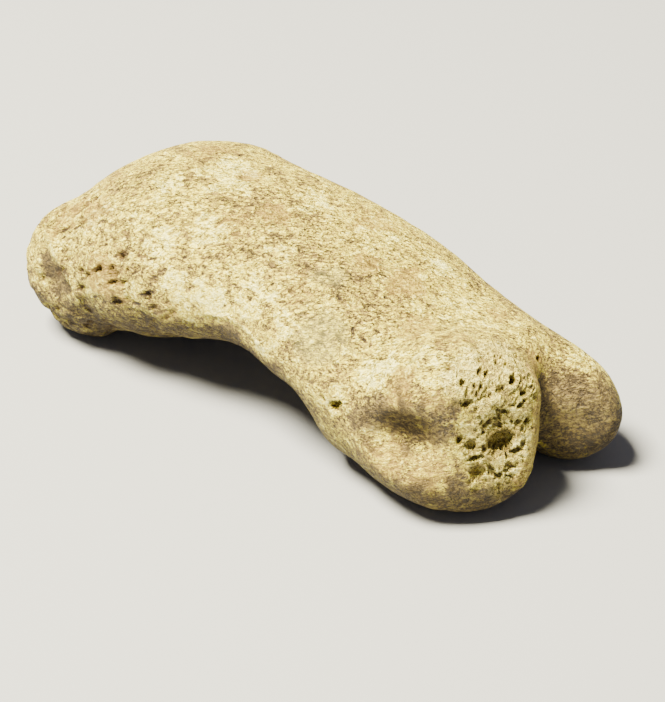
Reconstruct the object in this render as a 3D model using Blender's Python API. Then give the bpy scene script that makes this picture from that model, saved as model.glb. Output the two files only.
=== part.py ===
"""First bone of a cave bear's toe, a fossil, lying on its palmar side.

+X runs from the base of the bone to its head, +Y to the far side, +Z up.
The bone is one closed body. Its surface is where a smooth field is zero: the
shaft is lofted through stations, the lobes of both ends are blended on to it,
and the joint faces, ligament pits and the broken corner are cut out of it.
"""
import bpy
import numpy as np


def mm(*values):
    """Millimetres in, metres out."""
    return np.array(values, dtype=float) * 0.001


# Stations along the shaft: place, half width to the near side, half width to
# the far side, height of the back of the bone, height of its underside.
STATION_PLACE = mm(0.4, 5, 11, 18, 26, 34, 42, 52)
STATION_NEAR = mm(10.4, 11.75, 12.15, 11.75, 9.9, 10.5, 10.3, 8.0)
STATION_FAR = mm(10.3, 11.4, 12.3, 12.3, 12.3, 12.4, 11.7, 9.8)
STATION_BACK = mm(12.6, 15.9, 18.1, 18.4, 17.55, 16.2, 13.9, 13.45)
STATION_UNDER = mm(2.2, 1.1, 3.1, 3.5, 5.4, 4.6, 3.5, 2.85)
SECTION_SQUARENESS = 2.2
BASE_END_ROUNDING = 0.0026
HEAD_END_ROUNDING = 0.005

# Rounded lobes that are blended on to the shaft: centre, radii, lean about
# the cross axis in degrees, width of the blend.
LOBES = {
    "base": (mm(11.05, 0.3, 9.1), mm(8.55, 11.9, 8.65), 0, 0.0025),
    "near tubercle": (mm(4.25, -8.05, 6.5), mm(5.35, 3.95, 6.6), -24, 0.0025),
    "far tubercle": (mm(4.8, 8.5, 6.25), mm(5.2, 4.8, 6.6), -18, 0.003),
    "near condyle": (mm(48.35, -3.85, 7.6), mm(8.75, 7.3, 7.8), 0, 0.002),
    "far condyle": (mm(50.75, 7.75, 5.1), mm(6.55, 4.6, 5.2), 0, 0.002),
    "flare of the head": (mm(44.2, -6.2, 5.0), mm(6.7, 3.6, 4.0), 0, 0.0026),
    "bump at the foramen": (mm(38.8, -7.5, 6.9), mm(3.2, 2.0, 4.1), 0, 0.0024),
}

# Hollows that are cut out of it, in the same terms.
HOLLOWS = {
    "joint face of the base": (mm(-9.3, 0.2, 10.4), mm(12.0, 17.0, 10.6), -12, 0.0009),
    "groove of the head": (mm(61.7, 2.6, 6.2), mm(8.3, 5.3, 10.5), 0, 0.0018),
    "groove under the head": (mm(52.0, 2.2, -2.5), mm(9.0, 2.6, 4.0), 0, 0.002),
    "tendon groove": (mm(3.0, 0.0, -1.0), mm(12.0, 3.8, 4.5), 0, 0.002),
    "near ligament pit": (mm(48.5, -13.4, 8.6), mm(5.2, 5.0, 3.5), 6, 0.0016),
    "far ligament pit": (mm(47.5, 13.6, 7.4), mm(4.2, 2.8, 2.8), 0, 0.0012),
    "hollow on the near tubercle": (mm(5.6, -15.8, 8.4), mm(2.8, 3.6, 3.4), 0, 0.0016),
}

# What is cut out of the broken corner after it: the hollow of its face and the
# largest open cells of its spongy bone.
BREAK_HOLLOWS = {
    "hollow of the face": (mm(56.6, -6.2, 9.8), mm(3.4, 4.6, 4.4), 0, 0.0012),
    "large cell": (mm(53.35, -3.9, 8.1), mm(0.95, 1.35, 0.75), 0, 0.00035),
    "cell beside it": (mm(52.05, -6.25, 8.2), mm(0.45, 0.5, 0.45), 0, 0.0003),
    "cell below it": (mm(52.8, -6.1, 5.7), mm(0.6, 0.65, 0.5), 0, 0.00035),
}

# The near condyle's outer corner is broken off along a slanting plane, which
# stops at the ridge between the condyle and the groove of the head.
BREAK_POINT = mm(52.7, -4.8, 10.0)
BREAK_NORMAL = np.array([0.80, -0.56, 0.20])
BREAK_RIDGE = 0.0012
BREAK_SOFTNESS = 0.001
BREAK_EDGE = 0.0024

# Spokes that find the surface: a core line inside the bone with a fan of
# spokes at either end. The core drifts to the groove near the head. Rings lie
# closer near the ends, and spokes closer round one angle, on the near side.
CORE_START = 0.009
CORE_END = 0.049
CORE_HEIGHT = 0.008
CORE_DRIFT_START = 0.034
CORE_DRIFT = mm(0.0, 2.6, -1.0)
RINGS_ALONG_CORE = 42
RINGS_IN_BASE_FAN = 18
RINGS_IN_HEAD_FAN = 30
SPOKES_PER_RING = 64
RING_CROWDING = 0.3
SPOKE_CROWDING = 0.3
SPOKE_CROWDING_ANGLE = np.radians(170.0)
SPOKE_REACH = 0.026
SPOKE_STEPS = 64
SPOKE_HALVINGS = 24

BONE_COLOUR = (0.56, 0.42, 0.21, 1.0)
BONE_ROUGHNESS = 0.72


def blend_union(first, second, width):
    """The lower of two fields, with the crease between them filled in over a width."""
    share = np.clip(0.5 + 0.5 * (second - first) / width, 0.0, 1.0)
    return second + (first - second) * share - width * share * (1.0 - share)


def blend_cut(solid, hollow, width):
    """A solid with a hollow taken out of it, the rim rounded over a width."""
    return -blend_union(-solid, hollow, width)


def lean_matrix(degrees):
    """A turn about the cross axis Y."""
    angle = np.radians(degrees)
    cosine = np.cos(angle)
    sine = np.sin(angle)
    return np.array([[cosine, 0.0, sine], [0.0, 1.0, 0.0], [-sine, 0.0, cosine]])


def ellipsoid(points, centre, radii, lean):
    """A field that is negative inside an ellipsoid and close to a distance near its surface."""
    offset = (points - centre) @ lean_matrix(lean)
    unit = np.sqrt(((offset / radii) ** 2).sum(axis=-1))
    slope = np.sqrt(((offset / radii**2) ** 2).sum(axis=-1))
    return unit * (unit - 1.0) / np.maximum(slope, 1e-6)


def between_stations(along, values):
    """A smooth curve through one value at each station."""
    tangents = np.gradient(values, STATION_PLACE)
    index = np.clip(np.searchsorted(STATION_PLACE, along) - 1, 0, len(values) - 2)
    length = STATION_PLACE[index + 1] - STATION_PLACE[index]
    t = np.clip((along - STATION_PLACE[index]) / length, 0.0, 1.0)
    start = (2 * t**3 - 3 * t**2 + 1) * values[index]
    start_pull = (t**3 - 2 * t**2 + t) * length * tangents[index]
    end = (3 * t**2 - 2 * t**3) * values[index + 1]
    end_pull = (t**3 - t**2) * length * tangents[index + 1]
    return start + start_pull + end + end_pull


def shaft(points):
    """Rounded, slightly squared sections through the stations, closed at both ends."""
    along = points[..., 0]
    near = between_stations(along, STATION_NEAR)
    far = between_stations(along, STATION_FAR)
    back = between_stations(along, STATION_BACK)
    under = between_stations(along, STATION_UNDER)
    half_width = (far + near) / 2
    half_height = (back - under) / 2
    across = np.abs(points[..., 1] - (far - near) / 2) / half_width
    upward = np.abs(points[..., 2] - (back + under) / 2) / half_height
    power = SECTION_SQUARENESS
    radius = (across**power + upward**power) ** (1.0 / power)
    side = (radius - 1.0) * np.minimum(half_width, half_height)
    closed_at_base = blend_cut(side, along - STATION_PLACE[0], BASE_END_ROUNDING)
    return blend_cut(closed_at_base, STATION_PLACE[-1] - along, HEAD_END_ROUNDING)


def broken_corner(points):
    """Negative in the corner that is missing: beyond the break and outside the ridge."""
    normal = BREAK_NORMAL / np.linalg.norm(BREAK_NORMAL)
    inside_break = -((points - BREAK_POINT) @ normal)
    past_ridge = points[..., 1] - BREAK_RIDGE
    return -blend_union(-inside_break, -past_ridge, BREAK_SOFTNESS)


def bone(points):
    """The whole bone: negative inside, and cut flat at the level that it rests on."""
    field = shaft(points)
    for centre, radii, lean, width in LOBES.values():
        field = blend_union(field, ellipsoid(points, centre, radii, lean), width)
    for centre, radii, lean, width in HOLLOWS.values():
        field = blend_cut(field, ellipsoid(points, centre, radii, lean), width)
    field = blend_cut(field, broken_corner(points), BREAK_EDGE)
    for centre, radii, lean, width in BREAK_HOLLOWS.values():
        field = blend_cut(field, ellipsoid(points, centre, radii, lean), width)
    return np.maximum(field, -points[..., 2])


def core_line(along):
    """A point of the core line at each place along the bone."""
    t = np.clip((along - CORE_DRIFT_START) / (CORE_END - CORE_DRIFT_START), 0.0, 1.0)
    drift = (t * t * (3.0 - 2.0 * t))[..., None] * CORE_DRIFT
    straight = np.stack([along, np.zeros_like(along), np.full_like(along, CORE_HEIGHT)], axis=-1)
    return straight + drift


def spokes():
    """Start and direction of each spoke: rings from the base to the head, then the two tips."""
    base_fan = np.linspace(-np.pi / 2, 0.0, RINGS_IN_BASE_FAN + 2)[1:-1]
    head_fan = np.linspace(0.0, np.pi / 2, RINGS_IN_HEAD_FAN + 2)[1:-1]
    t = np.linspace(0.0, 1.0, RINGS_ALONG_CORE)
    crowded = t - RING_CROWDING * np.sin(2 * np.pi * t) / (2 * np.pi)
    tilt = np.concatenate([base_fan, np.zeros(RINGS_ALONG_CORE), head_fan])
    along = np.concatenate([
        np.full(RINGS_IN_BASE_FAN, CORE_START),
        CORE_START + (CORE_END - CORE_START) * crowded,
        np.full(RINGS_IN_HEAD_FAN, CORE_END),
    ])
    around = np.arange(SPOKES_PER_RING) * 2 * np.pi / SPOKES_PER_RING
    around = around - SPOKE_CROWDING * np.sin(around - SPOKE_CROWDING_ANGLE)
    tilt, around = np.meshgrid(tilt, around, indexing="ij")
    directions = np.stack([
        np.sin(tilt),
        np.cos(tilt) * np.cos(around),
        np.cos(tilt) * np.sin(around),
    ], axis=-1)
    starts = np.repeat(core_line(along)[:, None], SPOKES_PER_RING, axis=1)
    tips = core_line(np.array([CORE_START, CORE_END]))
    starts = np.vstack([starts.reshape(-1, 3), tips])
    directions = np.vstack([directions.reshape(-1, 3), [[-1.0, 0.0, 0.0], [1.0, 0.0, 0.0]]])
    return starts, directions


def surface_points(starts, directions):
    """Step out along each spoke to the first point outside the bone, then halve the last step."""
    inner = np.zeros(len(starts))
    outer = np.full(len(starts), SPOKE_REACH)
    searching = np.ones(len(starts), dtype=bool)
    for step in range(1, SPOKE_STEPS + 1):
        reach = SPOKE_REACH * step / SPOKE_STEPS
        outside = bone(starts + directions * reach) > 0.0
        outer[searching & outside] = reach
        searching &= ~outside
        inner[searching] = reach
    for _ in range(SPOKE_HALVINGS):
        middle = (inner + outer) / 2
        inside = bone(starts + directions * middle[:, None]) < 0.0
        inner = np.where(inside, middle, inner)
        outer = np.where(inside, outer, middle)
    return starts + directions * ((inner + outer) / 2)[:, None]


def surface_faces(points, rings):
    """Two triangles between neighbouring spokes, cut along the shorter diagonal, and two tip fans."""
    spoke = np.arange(SPOKES_PER_RING)
    following = (spoke + 1) % SPOKES_PER_RING
    base = np.arange(rings - 1)[:, None] * SPOKES_PER_RING
    a = (base + spoke).ravel()
    b = (base + following).ravel()
    c = b + SPOKES_PER_RING
    d = a + SPOKES_PER_RING
    diagonal_ac = np.linalg.norm(points[a] - points[c], axis=1)
    diagonal_bd = np.linalg.norm(points[b] - points[d], axis=1)
    by_ac = (diagonal_ac <= diagonal_bd)[:, None]
    first = np.where(by_ac, np.stack([a, b, c], axis=1), np.stack([a, b, d], axis=1))
    second = np.where(by_ac, np.stack([a, c, d], axis=1), np.stack([b, c, d], axis=1))
    base_tip = np.full(SPOKES_PER_RING, rings * SPOKES_PER_RING)
    head_tip = base_tip + 1
    last = (rings - 1) * SPOKES_PER_RING
    base_fan = np.stack([base_tip, following, spoke], axis=1)
    head_fan = np.stack([head_tip, last + spoke, last + following], axis=1)
    return np.vstack([first, second, base_fan, head_fan])


def bone_material():
    """Cream and tan fossil bone, dry and matt."""
    material = bpy.data.materials.new("fossil_bone")
    material.use_nodes = True
    shader = material.node_tree.nodes["Principled BSDF"]
    shader.inputs["Base Color"].default_value = BONE_COLOUR
    shader.inputs["Roughness"].default_value = BONE_ROUGHNESS
    shader.inputs["Metallic"].default_value = 0.0
    return material


def make_bone():
    """The toe bone, with its origin at the middle of its box, at the level that it rests on."""
    starts, directions = spokes()
    points = surface_points(starts, directions)
    points[:, 2] = np.where(points[:, 2] < 1e-6, 0.0, points[:, 2])
    rings = RINGS_IN_BASE_FAN + RINGS_ALONG_CORE + RINGS_IN_HEAD_FAN
    faces = surface_faces(points, rings)
    middle = (points.min(axis=0) + points.max(axis=0)) / 2
    points[:, :2] -= middle[:2]
    mesh = bpy.data.meshes.new("proximal_phalanx")
    mesh.from_pydata(points.tolist(), [], faces.tolist())
    mesh.materials.append(bone_material())
    mesh.shade_smooth()
    bone_object = bpy.data.objects.new("proximal_phalanx", mesh)
    bpy.context.scene.collection.objects.link(bone_object)
    return bone_object


for old in list(bpy.data.objects):
    bpy.data.objects.remove(old, do_unlink=True)
make_bone()
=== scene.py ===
"""A fossil toe bone of a cave bear, lying on its palmar side on a pale table.

The bone is one closed skin on a grid of two parameters: rings from the base of the
bone to its head, and spokes round each ring. A point of the skin is where its spoke
leaves the bone's smooth form, moved in or out by the relief of the real surface:
lumps, ridges, pores and the open cells of the broken corner. Lengths are in metres,
+X runs from the base to the head, +Y to the far side and +Z up.
"""
import itertools

import bpy
import numpy as np
from mathutils import Matrix


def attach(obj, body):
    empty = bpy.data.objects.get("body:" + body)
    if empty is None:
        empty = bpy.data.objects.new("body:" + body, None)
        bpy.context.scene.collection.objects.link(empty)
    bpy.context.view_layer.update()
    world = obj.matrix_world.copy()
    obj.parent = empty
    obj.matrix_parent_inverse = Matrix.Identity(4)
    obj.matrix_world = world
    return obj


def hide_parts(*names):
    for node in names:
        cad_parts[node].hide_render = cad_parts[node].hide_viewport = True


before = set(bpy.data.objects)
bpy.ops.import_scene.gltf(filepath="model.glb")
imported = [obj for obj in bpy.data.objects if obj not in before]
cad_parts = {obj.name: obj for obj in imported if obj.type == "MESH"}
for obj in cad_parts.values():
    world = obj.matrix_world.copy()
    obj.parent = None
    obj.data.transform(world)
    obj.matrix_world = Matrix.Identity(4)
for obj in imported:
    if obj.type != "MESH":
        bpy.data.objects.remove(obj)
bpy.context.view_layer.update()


def mm(*values):
    """Millimetres in, metres out."""
    return np.array(values, dtype=float) * 0.001


# The bone's smooth form: stations along the shaft, with the half width to the
# near and to the far side, the height of the back and that of the underside.
STATION_PLACE = mm(0.4, 5, 11, 18, 26, 34, 42, 52)
STATION_NEAR = mm(10.4, 11.75, 12.15, 11.75, 9.9, 10.5, 10.3, 8.0)
STATION_FAR = mm(10.3, 11.4, 12.3, 12.3, 12.3, 12.4, 11.7, 9.8)
STATION_BACK = mm(12.6, 15.9, 18.1, 18.4, 17.55, 16.2, 13.9, 13.45)
STATION_UNDER = mm(2.2, 1.1, 3.1, 3.5, 5.4, 4.6, 3.5, 2.85)
SECTION_SQUARENESS = 2.2
BASE_END_ROUNDING = 0.0026
HEAD_END_ROUNDING = 0.005

# Rounded lobes blended on to the shaft: centre, radii, lean about the cross
# axis in degrees, width of the blend.
LOBES = {
    "base": (mm(11.05, 0.3, 9.1), mm(8.55, 11.9, 8.65), 0, 0.0025),
    "near tubercle": (mm(4.25, -8.05, 6.5), mm(5.35, 3.95, 6.6), -24, 0.0025),
    "far tubercle": (mm(4.8, 8.5, 6.25), mm(5.2, 4.8, 6.6), -18, 0.003),
    "near condyle": (mm(48.35, -3.85, 7.6), mm(8.75, 7.3, 7.8), 0, 0.002),
    "far condyle": (mm(50.75, 7.75, 5.1), mm(6.55, 4.6, 5.2), 0, 0.002),
    "flare of the head": (mm(44.2, -6.2, 5.0), mm(6.7, 3.6, 4.0), 0, 0.0026),
    "bump at the foramen": (mm(38.8, -7.5, 6.9), mm(3.2, 2.0, 4.1), 0, 0.0024),
}

# Hollows cut out of it, in the same terms.
HOLLOWS = {
    "joint face of the base": (mm(-9.3, 0.2, 10.4), mm(12.0, 17.0, 10.6), -12, 0.0009),
    "groove of the head": (mm(61.7, 2.6, 6.2), mm(8.3, 5.3, 10.5), 0, 0.0018),
    "groove under the head": (mm(52.0, 2.2, -2.5), mm(9.0, 2.6, 4.0), 0, 0.002),
    "tendon groove": (mm(3.0, 0.0, -1.0), mm(12.0, 3.8, 4.5), 0, 0.002),
    "near ligament pit": (mm(48.5, -13.4, 8.6), mm(5.2, 5.0, 3.5), 6, 0.0016),
    "far ligament pit": (mm(47.5, 13.6, 7.4), mm(4.2, 2.8, 2.8), 0, 0.0012),
    "hollow on the near tubercle": (mm(5.6, -15.8, 8.4), mm(2.8, 3.6, 3.4), 0, 0.0016),
}

# Cut out of the broken corner after it: the hollow of its face and its largest open cells.
BREAK_HOLLOWS = {
    "hollow of the face": (mm(56.6, -6.2, 9.8), mm(3.4, 4.6, 4.4), 0, 0.0012),
    "large cell": (mm(53.35, -3.9, 8.1), mm(0.95, 1.35, 0.75), 0, 0.00035),
    "cell beside it": (mm(52.05, -6.25, 8.2), mm(0.45, 0.5, 0.45), 0, 0.0003),
    "cell below it": (mm(52.8, -6.1, 5.7), mm(0.6, 0.65, 0.5), 0, 0.00035),
}

# The near condyle's corner is broken off along a slanting plane.
BREAK_POINT = mm(52.7, -4.8, 10.0)
BREAK_NORMAL = np.array([0.80, -0.56, 0.20])
BREAK_RIDGE = 0.0012
BREAK_SOFTNESS = 0.001
BREAK_EDGE = 0.0024

# The grid of the skin: a core line with a fan of rings at either end. Rings lie
# closer near the ends, and spokes closer on the near side and the back.
CORE_START = 0.009
CORE_END = 0.049
CORE_HEIGHT = 0.008
CORE_DRIFT_START = 0.034
CORE_DRIFT = mm(0.0, 2.6, -1.0)
RINGS_ALONG_CORE = 190
RINGS_IN_BASE_FAN = 78
RINGS_IN_HEAD_FAN = 154
SPOKES_PER_RING = 230
RING_CROWDING = 0.45
SPOKE_CROWDING = 0.35
SPOKE_CROWDING_ANGLE = np.radians(150.0)
SPOKE_REACH = 0.026
SPOKE_STEPS = 52
SPOKE_HALVINGS = 18

# Ridges that stand proud: points along the crest, half width, height.
RIDGES = {
    "edge of the base's near end": (
        [mm(3.7, -11.0, 12.0), mm(5.2, -11.7, 11.1), mm(6.6, -12.1, 10.1), mm(9.0, -12.4, 8.3)],
        0.0010, 0.0003),
    "crest under the shaft": (
        [mm(24.0, -10.2, 11.5), mm(27.2, -9.8, 12.0), mm(29.4, -10.0, 11.6), mm(31.2, -10.2, 11.1)],
        0.0005, 0.00014),
}

# The smooth rim that is left between the broken corner and the groove of the head:
# points along it, how far to either side it starts and ends to fade, and how proud it stands.
RIM_LINE = [
    mm(52.3, 1.4, 12.4), mm(53.4, 0.4, 11.1), mm(54.2, -0.5, 10.1), mm(54.4, -0.8, 8.4),
    mm(54.7, -1.6, 6.2), mm(54.9, -2.9, 4.3),
]
RIM_REACH = mm(0.5, 0.95)
RIM_HEIGHT = 0.00012

# The broken corner: its middle and the way along it, level. Its spongy bone
# shows in two patches, given by place along and height, half length and half height,
# on the head only and short of the groove.
SPONGY_MIDDLE = mm(52.9, -4.1, 9.0)
SPONGY_ALONG = np.array([0.632, 0.775, 0.0])
SPONGY_PATCHES = [(mm(0.6, 8.6), mm(3.9, 5.9)), (mm(-0.4, 13.8), mm(4.6, 2.2))]
SPONGY_START = mm(47.8, 49.6)
SPONGY_FAR_EDGE = mm(0.8, 2.2)
SPONGY_FADE = (0.75, 1.12)
SPONGY_RAGGEDNESS = [(0.26, 0.0016), (0.20, 0.0006)]

# Its open cells, coarse and fine: size, depth, how far from their walls they reach that depth
# in sizes, and how they are bent out of shape. The whole lies at a level, unevenly.
SPONGY_CELL = 0.00078
SPONGY_CELL_DEPTH = 0.00032
SPONGY_CELL_WALL = (0.03, 0.34)
SPONGY_CELL_BEND = (0.00045, 0.0008)
SPONGY_FINE_CELL = 0.00042
SPONGY_FINE_DEPTH = 0.00014
SPONGY_FINE_WALL = (0.04, 0.40)
SPONGY_FINE_BEND = (0.00022, 0.00036)
SPONGY_LEVEL = 0.00010
SPONGY_UNEVENNESS = (0.00014, 0.0019)

# Holes modelled one by one: place, way along, half length, half width, depth.
HOLES = [
    # open cells of the broken corner, round its largest ones, and two beside the groove
    (mm(53.5, -3.0, 8.5), (0.6, 0.75, -0.2), 0.0006, 0.00028, 0.0004),
    (mm(51.9, -6.4, 8.3), (0.3, 0.3, 0.9), 0.0006, 0.0002, 0.0003),
    (mm(52.2, -5.9, 7.0), (0.6, 0.75, 0.1), 0.0006, 0.00022, 0.0004),
    (mm(53.9, -2.6, 6.9), (0.6, 0.75, 0.3), 0.0007, 0.00024, 0.0004),
    (mm(52.6, -4.9, 10.1), (0.5, 0.6, 0.6), 0.0007, 0.00022, 0.0004),
    (mm(53.1, -3.6, 11.0), (0.6, 0.7, -0.3), 0.0006, 0.00022, 0.0004),
    (mm(52.9, -2.1, 13.3), (0.6, 0.7, 0.2), 0.00042, 0.00034, 0.0006),
    (mm(53.8, -1.6, 12.2), (0.6, 0.8, 0.0), 0.0005, 0.00028, 0.0006),
    (mm(54.3, -1.7, 9.7), (0.2, 0.2, 1.0), 0.00045, 0.00034, 0.0006),
    (mm(51.5, -3.9, 14.2), (0.3, 0.3, 0.9), 0.0006, 0.0003, 0.0005),
    (mm(50.5, -5.8, 13.9), (0.3, 0.3, 0.9), 0.0005, 0.0003, 0.0005),
    (mm(49.0, -6.0, 14.8), (0.5, 0.2, 0.8), 0.00045, 0.00028, 0.0004),
    (mm(51.3, -6.0, 12.2), (0.5, 0.6, 0.5), 0.0005, 0.0003, 0.0005),
    (mm(54.0, -2.3, 11.2), (0.5, 0.6, 0.4), 0.0004, 0.00026, 0.0005),
    (mm(53.5, -4.4, 5.0), (0.6, 0.6, 0.4), 0.0005, 0.00026, 0.0004),
    (mm(50.4, 0.9, 13.7), (0.6, 0.8, 0.0), 0.0005, 0.00028, 0.0005),
    (mm(51.0, 4.2, 11.5), (0.4, 0.8, 0.2), 0.0004, 0.00026, 0.0004),
    (mm(51.4, -7.0, 8.9), (0.4, 0.2, 0.9), 0.00045, 0.00025, 0.0005),
    # foramen at the neck and the slit beside it
    (mm(40.2, -10.6, 9.0), (0.3, 0.1, 0.9), 0.00058, 0.0004, 0.0009),
    (mm(40.6, -10.5, 9.4), (0.9, 0.3, 0.3), 0.00035, 0.0002, 0.0006),
    (mm(39.0, -10.3, 9.3), (0.6, 0.1, -0.6), 0.00036, 0.00016, 0.0003),
    # pores and slits of the base, and last the shallow hollow of its near end
    (mm(6.5, -7.9, 15.4), (0.6, 0.3, 0.7), 0.0012, 0.00034, 0.0009),
    (mm(7.4, -10.2, 14.1), (0.7, 0.3, 0.62), 0.0010, 0.00018, 0.0003),
    (mm(5.6, -10.5, 13.1), (0.7, 0.3, 0.62), 0.0008, 0.00017, 0.0003),
    (mm(12.0, -12.3, 12.0), (0.78, 0.05, 0.62), 0.00065, 0.00026, 0.0007),
    (mm(13.6, -12.0, 12.7), (0.78, 0.1, 0.6), 0.0005, 0.0002, 0.0005),
    (mm(14.4, -11.2, 14.2), (0.75, 0.25, 0.6), 0.0006, 0.0002, 0.0005),
    (mm(18.0, -11.7, 11.6), (0.85, 0.1, 0.5), 0.0006, 0.00022, 0.0005),
    (mm(14.4, -12.2, 9.4), (0.9, 0.0, 0.4), 0.0007, 0.0002, 0.0005),
    (mm(13.8, -12.3, 11.3), (0.85, 0.0, 0.5), 0.0005, 0.00018, 0.0004),
    (mm(15.6, -9.9, 15.6), (0.75, 0.3, 0.58), 0.0004, 0.00016, 0.0003),
    (mm(15.4, -11.6, 13.1), (0.8, 0.15, 0.58), 0.0004, 0.00017, 0.0004),
    (mm(16.4, -11.4, 13.5), (0.8, 0.15, 0.58), 0.0004, 0.00015, 0.0003),
    (mm(5.8, -11.9, 8.9), (0.5, 0.0, 0.85), 0.0008, 0.0003, 0.00015),
]

# Within this height of a hole's place, a point of the skin counts as level with it. A hole's
# wall rises between these shares of its radius, and its outline is ragged.
HOLE_SKIN_GAP = 0.0011
HOLE_WALL = (0.45, 1.15)
HOLE_RAGGEDNESS = (0.42, 0.0005)

# Lumps of the skin, fibres, and the pitting of the base: height and size of each, and how
# fibres and pitting are squeezed lengthwise.
BROAD_LUMPS = (0.00010, 0.0062)
LUMPS = (0.00007, 0.0024)
SMALL_LUMPS = (0.00004, 0.0009)
FIBRES = (0.000018, 0.00045)
COARSE_PITTING = (0.00009, 0.0009)
FINE_PITTING = (0.00007, 0.0005)
FIBRE_SQUEEZE = np.array([0.16, 1.0, 1.0])
COARSE_PITTING_SQUEEZE = np.array([0.45, 1.0, 1.0])
FINE_PITTING_SQUEEZE = np.array([0.5, 1.0, 1.0])

# Where the pitted part of the base ends along the bone and starts towards the near side,
# and how high, how far to the near side and how far along its rough lower edge reaches.
PITTED_END = mm(16.0, 24.0)
PITTED_SIDE = mm(6.0, 10.5)
LOW_EDGE_HEIGHT = mm(4.0, 9.5)
LOW_EDGE_SIDE = mm(4.0, 8.0)
LOW_EDGE_END = mm(24.0, 34.0)

# Strewn pores of the base: size of the cells they sit in, depth, where their walls start and
# end in sizes, which cells have one, by the cell's own number, how their pattern is squeezed
# lengthwise, and the turn that lays it along the fibres.
PORE_CELL = 0.00072
PORE_DEPTH = 0.00032
PORE_WALL = (0.16, 0.40)
PORE_CHOICE = (0.38, 0.48)
PORE_SQUEEZE = np.array([0.36, 1.0, 1.0])
PORE_TURN = np.array([[0.8, 0.0, -0.6], [0.0, 1.0, 0.0], [0.6, 0.0, 0.8]])

# Half width and half height of the section that patterns along the grain are laid out on.
GRAIN_HALF_WIDTH = 0.011
GRAIN_HALF_HEIGHT = 0.0075

# A patch fades out between these shares of its radius, and its edge is ragged.
PATCH_FADE = (0.35, 1.05)
PATCH_RAGGEDNESS = [(0.35, 0.0011), (0.20, 0.0005)]

# Pale worn patches, brown stains and grey patches: place, radius, strength.
PALE_PATCHES = [
    (mm(15.6, 1.6, 18.5), 0.0034, 1.0), (mm(13.0, -3.6, 18.3), 0.0026, 0.8),
    (mm(18.6, -0.6, 18.4), 0.0026, 0.8), (mm(20.8, -6.2, 17.1), 0.0024, 0.8),
    (mm(20.6, -10.8, 13.2), 0.0020, 0.9), (mm(24.5, -9.8, 13.2), 0.0024, 0.9),
    (mm(43.2, -8.0, 12.7), 0.0026, 1.0), (mm(47.4, -6.8, 14.6), 0.0030, 1.0),
    (mm(40.4, -10.4, 9.8), 0.0020, 1.0), (mm(44.6, -10.0, 8.6), 0.0008, 0.8),
    (mm(38.0, 6.6, 14.4), 0.0018, 1.0), (mm(50.0, -4.6, 14.6), 0.0024, 0.8),
    (mm(17.4, -9.2, 15.6), 0.0024, 0.8), (mm(28.5, -8.6, 14.0), 0.0030, 0.6),
    (mm(33.0, -9.4, 12.6), 0.0024, 0.6), (mm(9.6, -9.4, 15.2), 0.0024, 0.7),
    (mm(25.0, 3.0, 17.4), 0.0032, 0.6), (mm(31.2, -10.2, 11.1), 0.0016, 0.6),
    (mm(28.0, -4.0, 16.8), 0.0028, 0.5), (mm(56.2, 10.2, 6.6), 0.0018, 0.6),
    (mm(52.0, 8.0, 9.8), 0.0026, 0.6),
]
BROWN_STAINS = [
    (mm(18.0, 2.2, 18.3), 0.0018, 0.9), (mm(23.6, -0.9, 17.8), 0.0024, 0.8),
    (mm(37.8, 1.6, 15.1), 0.0028, 1.0), (mm(34.2, 0.6, 16.2), 0.0020, 0.8),
    (mm(42.5, -2.0, 14.4), 0.0030, 0.6), (mm(30.0, 6.0, 16.5), 0.0035, 0.6),
    (mm(44.5, 6.0, 12.5), 0.0024, 0.6), (mm(39.5, -9.0, 11.0), 0.0016, 0.5),
    (mm(51.5, 3.5, 11.6), 0.0018, 0.8), (mm(46.6, -9.4, 11.9), 0.0020, 0.8),
    (mm(13.0, -12.2, 11.6), 0.0034, 0.8), (mm(8.4, -8.6, 15.4), 0.0026, 0.7),
    (mm(53.0, -4.0, 8.0), 0.0020, 1.3), (mm(52.0, -6.2, 8.2), 0.0010, 1.2),
    (mm(52.6, -6.1, 5.7), 0.0011, 1.2), (mm(4.6, -9.4, 13.6), 0.0034, 0.7),
    (mm(6.4, -5.0, 15.8), 0.0030, 0.6), (mm(22.0, -4.0, 17.4), 0.0030, 0.5),
    (mm(46.0, -8.0, 13.2), 0.0022, 0.7), (mm(44.4, -10.6, 6.0), 0.0030, 0.5),
    (mm(49.4, -9.0, 4.4), 0.0034, 0.7), (mm(46.4, -10.4, 6.2), 0.0030, 0.7),
    (mm(49.6, -8.8, 6.6), 0.0028, 0.6), (mm(12.0, 3.0, 17.6), 0.0030, 0.6),
    (mm(32.0, -6.0, 15.6), 0.0030, 0.4), (mm(47.0, -2.6, 14.8), 0.0026, 0.5),
    (mm(49.2, -8.2, 12.2), 0.0016, 0.6), (mm(20.0, -11.2, 9.8), 0.0026, 0.5),
]
GREY_PATCHES = [(mm(36.4, -8.0, 13.6), 0.0032, 1.0), (mm(33.1, -3.6, 16.0), 0.002, 0.8)]

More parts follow.
